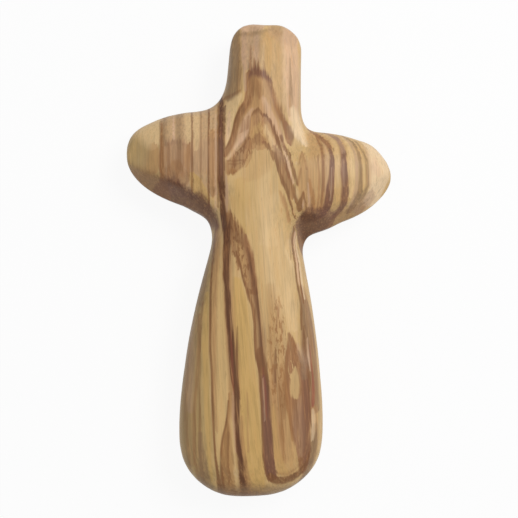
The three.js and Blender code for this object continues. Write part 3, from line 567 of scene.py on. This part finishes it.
figure = {
    "spread": 0.0034,  # how much wider the figure grows for each mm towards the front
    "wobble": 0.4,  # mm that the lines stray
    "torn": 2.6,  # mm that the fibres pull the edges of the most ragged lines
    "teeth": 2.2,  # mm that the fibres pull the figure up and down
    "soft": 1.4,  # how much softer every edge is than its line says
    "backFrom": 9,  # mm above the floor, where the back half starts
    "back": (0.25, 1.2),  # how far the figure of the back half is shifted for each mm of depth
    "bend": 0.075,  # how fast the growth lines of the right arm turn inwards with depth
    "bendMost": 6,  # mm
    "bendFrom": 18.5,  # mm above the floor
    "bendAcross": (5, 15),  # mm right of the crossing, where the bend starts and is full
    "leanAcross": (-20, 2),  # the same for the lean of the fibres
    "leanLeast": 0.15,
    "leanMore": 0.9,
    "cream": 0.5,  # how strong the broad streaks of the bare wood are
    "honey": 0.5,
    "streaks": 0.35,  # how strong the long fine streaks are
    "hairs": 0.3,  # how much of a line its light hairs take away
    "patches": 0.15,  # how much of a line its worn patches take away
    "rings": 0.75,  # how strong the growth lines of the back half are
    "pores": 0.35,
    "fineHairs": 0.5,
    "grain": 0.9,  # how strongly the fibres lighten and darken the wood
}

# The noises of the wood: how often they change for each mm across and along the fibres, how many layers of
# detail they have, their seed and how rough they are
noises = {
    "stray": (0.12, 0.05, 1, 3, 0.6),
    "fibres": (1.1, 0.08, 3, 1, 0.6),
    "hairs": (2.4, 0.08, 3, 6, 0.7),
    "broad": (0.35, 0.02, 2, 2, 0.6),
    "streaks": (1.7, 0.03, 2, 11, 0.7),
    "pores": (3.6, 0.5, 2, 8, 0.6),
    "patches": (0.9, 0.12, 2, 5, 0.6),
    "flecks": (2.2, 0.6, 2, 9, 0.6),
    "rings": (0.5, 0.012, 2, 14, 0.5),
}

# How much of a second noise goes into a first one
blends = {"pull": 0.7, "honey": 1.5, "rings": 0.03, "fine": 0.5, "levelFibres": 0.6, "levelStreaks": 0.4}

# Between which values of their noise the layers fade in
fades = {
    "cream": (-0.1, 0.3),
    "honey": (0, 0.4),
    "streaks": (0.04, 0.22),
    "hairs": (0.02, 0.2),
    "patches": (-0.25, 0.1),
    "flecks": (0, 0.1),
    "rings": (0.045, 0.008),
    "ringsDeep": (0.5, 4),
    "pores": (0.1, 0.3),
    "fineHairs": (0.02, 0.3),
}

polish = {
    "roughness": 0.48,
    "hairs": 0.2,  # how much the hairs change it
    "specular": 0.28,
    "coat": 0.03,
    "coatRoughness": 0.35,
}

lowest, highest = -80, 40  # mm above the crossing that the curves reach, and as far across
span = highest - lowest


# A value that follows points of place and value, both in mm
def along(share, points, bends="VECTOR"):
    places = sorted(((place - lowest) / span, (value - lowest) / span) for place, value in points)
    return share.node("FloatCurve", {"curve": (bends, places)}, {"Value": share})


# Where a line covers the wood, from 0 to its strength. Everything is in shares of the span
def lineMask(across, share, strength, softFirst, softLast, points):
    taper, gone = 1.2, -1.5  # mm past its ends that a line is gone, and half its width there
    forward = 1 if points[0][1] > points[-1][1] else -1
    halves = [(points[0][1] + forward * taper, gone)] + [(place, width / 2) for _, place, width in points]
    halves += [(points[-1][1] - forward * taper, gone)]
    off = across - along(share, [(place, middle) for middle, place, _ in points], "AUTO_CLAMPED")
    half = along(share, halves)
    edge = -lowest / span
    first, last = (soft * figure["soft"] / 2 / span for soft in (softFirst, softLast))
    first = (half + off).fade(edge - first, edge + first)
    last = (half - off).fade(edge - last, edge + last, strength)
    return first * last


# The colour below with some of a tone over it
def tinted(below, tone, amount):
    return amount.node("Mix", {"data_type": "RGBA"}, {0: amount, 6: below, 7: paint(*tones[tone])}, 2)


pulls = (0.2, 0.4, 0.7, 1.1)  # how far the fibres may pull a line's edges
groupInputs = {"Wood": "Color", "Along": "Float", "Strands": "Float"}
groupInputs.update({"Pulled " + str(pull): "Float" for pull in pulls})


# A node group that lays one set of lines over the wood
def lineGroup(name, lines):
    tree = bpy.data.node_groups.new(name, "ShaderNodeTree")
    for title, kind in groupInputs.items():
        tree.interface.new_socket(title, in_out="INPUT", socket_type="NodeSocket" + kind)
    tree.interface.new_socket("Wood", in_out="OUTPUT", socket_type="NodeSocketColor")
    start = Wire(tree)
    entry = start.node("NodeGroupInput", {}, {}).socket.node
    wood, share, strands, *pulled = (Wire(tree, entry.outputs[title]) for title in groupInputs)
    for tone, strength, softFirst, softLast, pull, points in lines.values():
        across = pulled[pulls.index(pull)]
        mask = lineMask(across, share, strength, softFirst, softLast, points) * strands
        wood = tinted(wood, tone, mask)
    start.node("NodeGroupOutput", {}, {"Wood": wood})
    return tree


def oliveWood():
    material = bpy.data.materials.new("olive_wood")
    material.use_nodes = True
    tree = material.node_tree
    shader = tree.nodes["Principled BSDF"]
    start = Wire(tree)

    place = start.node("TexCoord", {}, {}, "Object")
    scaled = start.node("VectorMath", {"operation": "SCALE"}, {0: place, "Scale": 1 / mm})
    split = scaled.node("SeparateXYZ", {}, {0: scaled})
    flatX, flatY, z = (Wire(tree, split.socket.node.outputs[i]) for i in range(3))

    _, middleY, middleZ = cameraSetup["middle"]
    spread = 1 + (z - middleZ) * figure["spread"]
    deep = (figure["backFrom"] - z).math("MAXIMUM", 0)
    depth = (figure["bendFrom"] - z).math("MAXIMUM", 0)
    bend = (depth * depth * figure["bend"]).math("MINIMUM", figure["bendMost"])
    bend = bend * flatX.fade(*figure["bendAcross"])
    y = (flatY - middleY) * spread + middleY

    # The fibres lean with the lines of the shaft
    lean = along((y - lowest) / span, fibreLean) * span + lowest
    leaned = flatX - lean * (flatX.fade(*figure["leanAcross"]) * figure["leanMore"] + figure["leanLeast"])
    fibreSpace = start.node("CombineXYZ", {}, {0: leaned, 1: flatY, 2: z})

    def grain(name):
        acrossRate, alongRate, detail, seed, roughness = noises[name]
        vector = start.node("VectorMath", {"operation": "MULTIPLY"},
                            {0: fibreSpace, 1: (acrossRate, alongRate, acrossRate)})
        inputs = {"Vector": vector, "W": seed, "Scale": 1, "Detail": detail, "Roughness": roughness}
        return start.node("TexNoise", {"noise_dimensions": "4D"}, inputs) - 0.5

    stray = grain("stray") * figure["wobble"] - lowest
    fibres = grain("fibres")
    hairs = grain("hairs")
    pull = fibres + hairs * blends["pull"]
    shareX = (flatX * spread + bend + stray + deep * figure["back"][0]) / span
    calmShare = (y + stray + deep * figure["back"][1]) / span
    share = calmShare + pull * (figure["teeth"] / span)
    broad = grain("broad")
    streaks = grain("streaks")
    patches = grain("patches").fade(*fades["patches"]) * figure["patches"] + (1 - figure["patches"])
    strands = patches * (1 - hairs.fade(*fades["hairs"]) * figure["hairs"])
    flecks = grain("flecks").fade(*fades["flecks"])
    torn = pull * figure["torn"]

    wood = tinted(paint(*tones["straw"]), "cream", broad.fade(*fades["cream"]) * figure["cream"])
    warm = fibres * blends["honey"] + broad
    wood = tinted(wood, "honey", warm.fade(*fades["honey"]) * figure["honey"])
    wood = tinted(wood, "mauve", streaks.fade(*fades["streaks"]) * figure["streaks"])
    wood = tinted(wood, "ivory", (-streaks).fade(*fades["streaks"]) * figure["streaks"])

    groups = {"shaft washes": shaftWashes, "arches": archLines, "crossing": crossingLines,
              "head": headLines, "zigzags": zigzagLines, "right arm": rightArmLines,
              "blocks across": blockLines, "left arm": leftArmLines, "shaft": shaftLines,
              "root": rootLines, "lines across": acrossLines, "flecks": fleckLines}
    upward = [shareX + torn * (amount / span) for amount in pulls]
    sideways = [calmShare + torn * (amount / span) for amount in pulls]
    for name, lines in groups.items():
        across = name.endswith("across")
        inputs = {"Wood": wood, "Along": shareX if across else share,
                  "Strands": flecks if name == "flecks" else strands}
        sides = sideways if across else upward
        inputs.update({"Pulled " + str(amount): value for amount, value in zip(pulls, sides)})
        wood = start.node("Group", {"node_tree": lineGroup(name, lines)}, inputs)

    # Growth lines on the back half, where the drawn ones are few, then the pores and the finest hairs
    rings = abs(grain("rings") + hairs * blends["rings"]).fade(*fades["rings"], figure["rings"])
    wood = tinted(wood, "umber", rings * deep.fade(*fades["ringsDeep"]))
    wood = tinted(wood, "cocoa", grain("pores").fade(*fades["pores"]) * figure["pores"])
    fine = (hairs + fibres * blends["fine"]).fade(*fades["fineHairs"])
    wood = tinted(wood, "amber", fine * figure["fineHairs"])
    level = hairs + fibres * blends["levelFibres"] + streaks * blends["levelStreaks"]
    level = level * figure["grain"] + 1
    grey = start.node("CombineColor", {}, {0: level, 1: level, 2: level})
    wood = start.node("Mix", {"data_type": "RGBA", "blend_type": "MULTIPLY"}, {0: 1, 6: wood, 7: grey}, 2)
    tree.links.new(wood.socket, shader.inputs["Base Color"])
    rough = polish["roughness"] - hairs * polish["hairs"]
    tree.links.new(rough.socket, shader.inputs["Roughness"])
    shader.inputs["Specular IOR Level"].default_value = polish["specular"]
    shader.inputs["Coat Weight"].default_value = polish["coat"]
    shader.inputs["Coat Roughness"].default_value = polish["coatRoughness"]
    print("olive wood", sum(len(lines) for lines in groups.values()), "lines")
    return material


# Body: a smoothed copy of the CAD solid
bodySetup = {
    "merge": 0.001,
    "voxel": 0.8,
    "smoothing": 8,
    "softening": 2,  # rounds of smoothing after the facets are cut
    "factor": 0.5,  # how far each round moves a point
    "frontFrom": 9,  # mm above the floor, where the facets start
    "unevenness": 0.12,  # mm that the hand sanding left the faces wavy
    "waves": 0.09,
    "sunk": 0.6,  # how far the waves lie below the faces, as a share of the unevenness
    "lift": 0.03,  # mm that the back stays above the floor
    # Pushes on the outline: right of and above the crossing, how far right and up, and how far it reaches
    "pushes": [(-15, -8.4, 0, -0.7, 4.5), (15.4, -12.4, 0, -0.8, 5.5), (-31, 11, -0.4, 0.3, 6),
               (32, -0.5, 0.2, -0.15, 6), (27.4, 8.2, 0.15, 0.35, 4.5), (12, -75, -0.25, 0.25, 9),
               (-15, -75, 0.15, 0.15, 8), (15.4, -62, 0.35, 0, 14), (-19, -60, -0.2, 0, 18),
               (-14, -33, -0.2, 0, 14), (0.6, 37.8, 0, -0.25, 5), (8.6, 36.4, -0.25, -0.2, 5)],
    "levels": 1,
}

# The flats that the knife left. Each has a slope and a reach for its outer side, on the right as one goes
# along the ridge, the same for its inner side, how far past its ends it dies away, and then the ridge's
# points. The wood falls with the outer slope and rises at most with the inner one
facets = {
    "leftUnder": (1.5, 6, 0.35, 4, 7, [(-31.8, 3.6), (-28, 1.4), (-24.2, 0.1), (-19.8, -1.7), (-14.4, -4.2),
        (-11.5, -6.6)]),
    "rightUnder": (1.4, 6, 0.35, 4, 6, [(9.8, -8.9), (15.4, -7.6), (21, -5.9), (25.9, -2.7), (29.5, 0.6)]),
    "leftTop": (0.6, 6, 0.4, 2, 6, [(-12, 9.6), (-17, 9.6), (-20, 9.4)]),
    "headLeft": (1, 4, 0.15, 3, 6, [(-4.7, 36), (-4.7, 27), (-5.2, 20)]),
    "headRight": (0.65, 4, 0.12, 3, 6, [(9.4, 9.4), (7.6, 13), (6.4, 18), (6.2, 36)]),
    "headTop": (1.6, 3, 0.25, 2, 3, [(2.7, 37), (0.7, 36.3), (-4.6, 35.3)]),
    "shaftRight": (0.55, 3, 0.02, 3, 9, [(12.6, -40), (10.6, -30), (8.4, -22), (7.6, -15)]),
}


def ridgeOffset(point, ridge):
    # How far outwards of the ridge a point is, how far past its ends, and how high the ridge is there
    best = None
    for start, end in zip(ridge, ridge[1:]):
        step = (end - start).to_2d()
        reach = step.length
        step /= reach
        away = (point - start).to_2d()
        run = away.dot(step)
        past = max(0, -run, run - reach)
        side = away.x * step.y - away.y * step.x
        if best is None or math.hypot(side, past) < best[0]:
            height = start.z + (end.z - start.z) * min(max(run / reach, 0), 1)
            best = (math.hypot(side, past), side, past, height)
    return best[1:]


def cutFacets(shape, setup):
    tree = BVHTree.FromBMesh(shape)
    above = 50  # mm, higher than the cross

    def onTop(x, y):
        hit = tree.ray_cast(Vector((x, y, above)) * mm, Vector((0, 0, -1)))[0]
        return Vector((x, y, hit.z / mm))

    for name, (outer, outerReach, inner, innerReach, fadeOut, points) in facets.items():
        ridge = [onTop(x, y) for x, y in points]
        most = 0
        for vertex in shape.verts:
            point = vertex.co / mm
            if point.z < setup["frontFrom"]:
                continue
            side, past, height = ridgeOffset(point, ridge)
            slope, reach = (outer, outerReach) if side > 0 else (inner, innerReach)
            weight = max(0, 1 - past / fadeOut) * min(1, max(0, 2 - abs(side) / reach))
            cut = max(0, point.z - height + side * slope) * weight ** 2 * (3 - 2 * weight)
            most = max(most, cut)
            vertex.co.z -= cut * mm
        print("facet", name, round(most, 2), "mm deep")


def pushOutline(shape, setup):
    for vertex in shape.verts:
        wave = noise.noise(vertex.co / mm * setup["waves"]) - setup["sunk"]
        vertex.co += vertex.normal * wave * setup["unevenness"] * mm
        for x, y, right, up, reach in setup["pushes"]:
            away = math.hypot(vertex.co.x / mm - x, vertex.co.y / mm - y) / reach
            weight = max(0, 1 - away * away) ** 2
            vertex.co += Vector((right, up, 0)) * weight * mm
        vertex.co.z = max(vertex.co.z, setup["lift"] * mm)


def addBody(setup):
    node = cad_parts["cross_body"]
    mesh = node.data.copy()
    shape = bmesh.new()
    shape.from_mesh(mesh)
    shape.transform(node.matrix_world)
    bmesh.ops.remove_doubles(shape, verts=shape.verts, dist=setup["merge"] * mm)
    bmesh.ops.recalc_face_normals(shape, faces=shape.faces)
    shape.to_mesh(mesh)
    shape.free()
    body = bpy.data.objects.new("cross_wood", mesh)
    bpy.context.collection.objects.link(body)
    mesh.materials.clear()

    remesh = body.modifiers.new("remesh", "REMESH")
    remesh.mode = "VOXEL"
    remesh.voxel_size = setup["voxel"] * mm
    smooth = body.modifiers.new("smooth", "SMOOTH")
    smooth.factor = setup["factor"]
    smooth.iterations = setup["smoothing"]
    bpy.context.view_layer.update()
    finished = bpy.data.meshes.new_from_object(body.evaluated_get(bpy.context.evaluated_depsgraph_get()))
    body.modifiers.clear()
    shape = bmesh.new()
    shape.from_mesh(finished)
    shape.normal_update()
    cutFacets(shape, setup)
    pushOutline(shape, setup)
    for _ in range(setup["softening"]):
        bmesh.ops.smooth_vert(shape, verts=shape.verts, factor=setup["factor"],
                              use_axis_x=True, use_axis_y=True, use_axis_z=True)
    shape.to_mesh(finished)
    shape.free()
    body.data = finished
    for face in finished.polygons:
        face.use_smooth = True
    subdivide = body.modifiers.new("subdivide", "SUBSURF")
    subdivide.levels = setup["levels"]
    subdivide.render_levels = setup["levels"]
    print("body", len(finished.polygons), "faces")
    return body


# Floor and light
studio = {
    "floorSize": 1200,
    "floorGrey": 0.8,
    "glow": 0.92,  # how much of the floor's white is its own, so that the shadow stays faint
    "sky": 0.5,
    "keyPower": 1.35,
    "keyPlace": (210, 150, 400),
    "keySize": 220,
    "aim": (0, -20, 0),
}


def addFloor(setup):
    mesh = bpy.data.meshes.new("floor")
    shape = bmesh.new()
    bmesh.ops.create_grid(shape, x_segments=1, y_segments=1, size=setup["floorSize"] * mm)
    shape.to_mesh(mesh)
    shape.free()
    floor = bpy.data.objects.new("floor", mesh)
    bpy.context.collection.objects.link(floor)
    material = bpy.data.materials.new("white paper")
    material.use_nodes = True
    tree = material.node_tree
    start = Wire(tree)
    ray = start.node("LightPath", {}, {}, "Is Camera Ray")
    glossy = start.node("LightPath", {}, {}, "Is Glossy Ray")
    grey = setup["floorGrey"]
    diffuse = start.node("BsdfDiffuse", {}, {"Color": (grey, grey, grey, 1)})
    white = start.node("Emission", {}, {"Color": (1, 1, 1, 1), "Strength": 1})
    seen = ray.math("MAXIMUM", glossy) * setup["glow"]
    mixed = start.node("MixShader", {}, {0: seen, 1: diffuse, 2: white})
    tree.links.new(mixed.socket, tree.nodes["Material Output"].inputs["Surface"])
    mesh.materials.append(material)


def addLight(setup):
    world = bpy.data.worlds.new("studio")
    bpy.context.scene.world = world
    world.use_nodes = True
    tree = world.node_tree
    start = Wire(tree)
    seen = start.node("LightPath", {}, {}, "Is Camera Ray")
    background = tree.nodes["Background"]
    level = seen * (1 - setup["sky"]) + setup["sky"]
    tree.links.new(level.socket, background.inputs["Strength"])
    background.inputs["Color"].default_value = (1, 1, 1, 1)
    light = bpy.data.lights.new("key", "AREA")
    light.energy = setup["keyPower"]
    light.size = setup["keySize"] * mm
    key = bpy.data.objects.new("key", light)
    key.location = Vector(setup["keyPlace"]) * mm
    aim = Vector(setup["aim"]) * mm - key.location
    key.rotation_euler = aim.to_track_quat("-Z", "Y").to_euler()
    bpy.context.collection.objects.link(key)
    print("floor and light")


addCamera(cameraSetup)
body = addBody(bodySetup)
body.data.materials.append(oliveWood())
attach(body, "root")
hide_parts("cross_body")
addFloor(studio)
addLight(studio)

scene = bpy.context.scene
scene.view_settings.view_transform = "Standard"
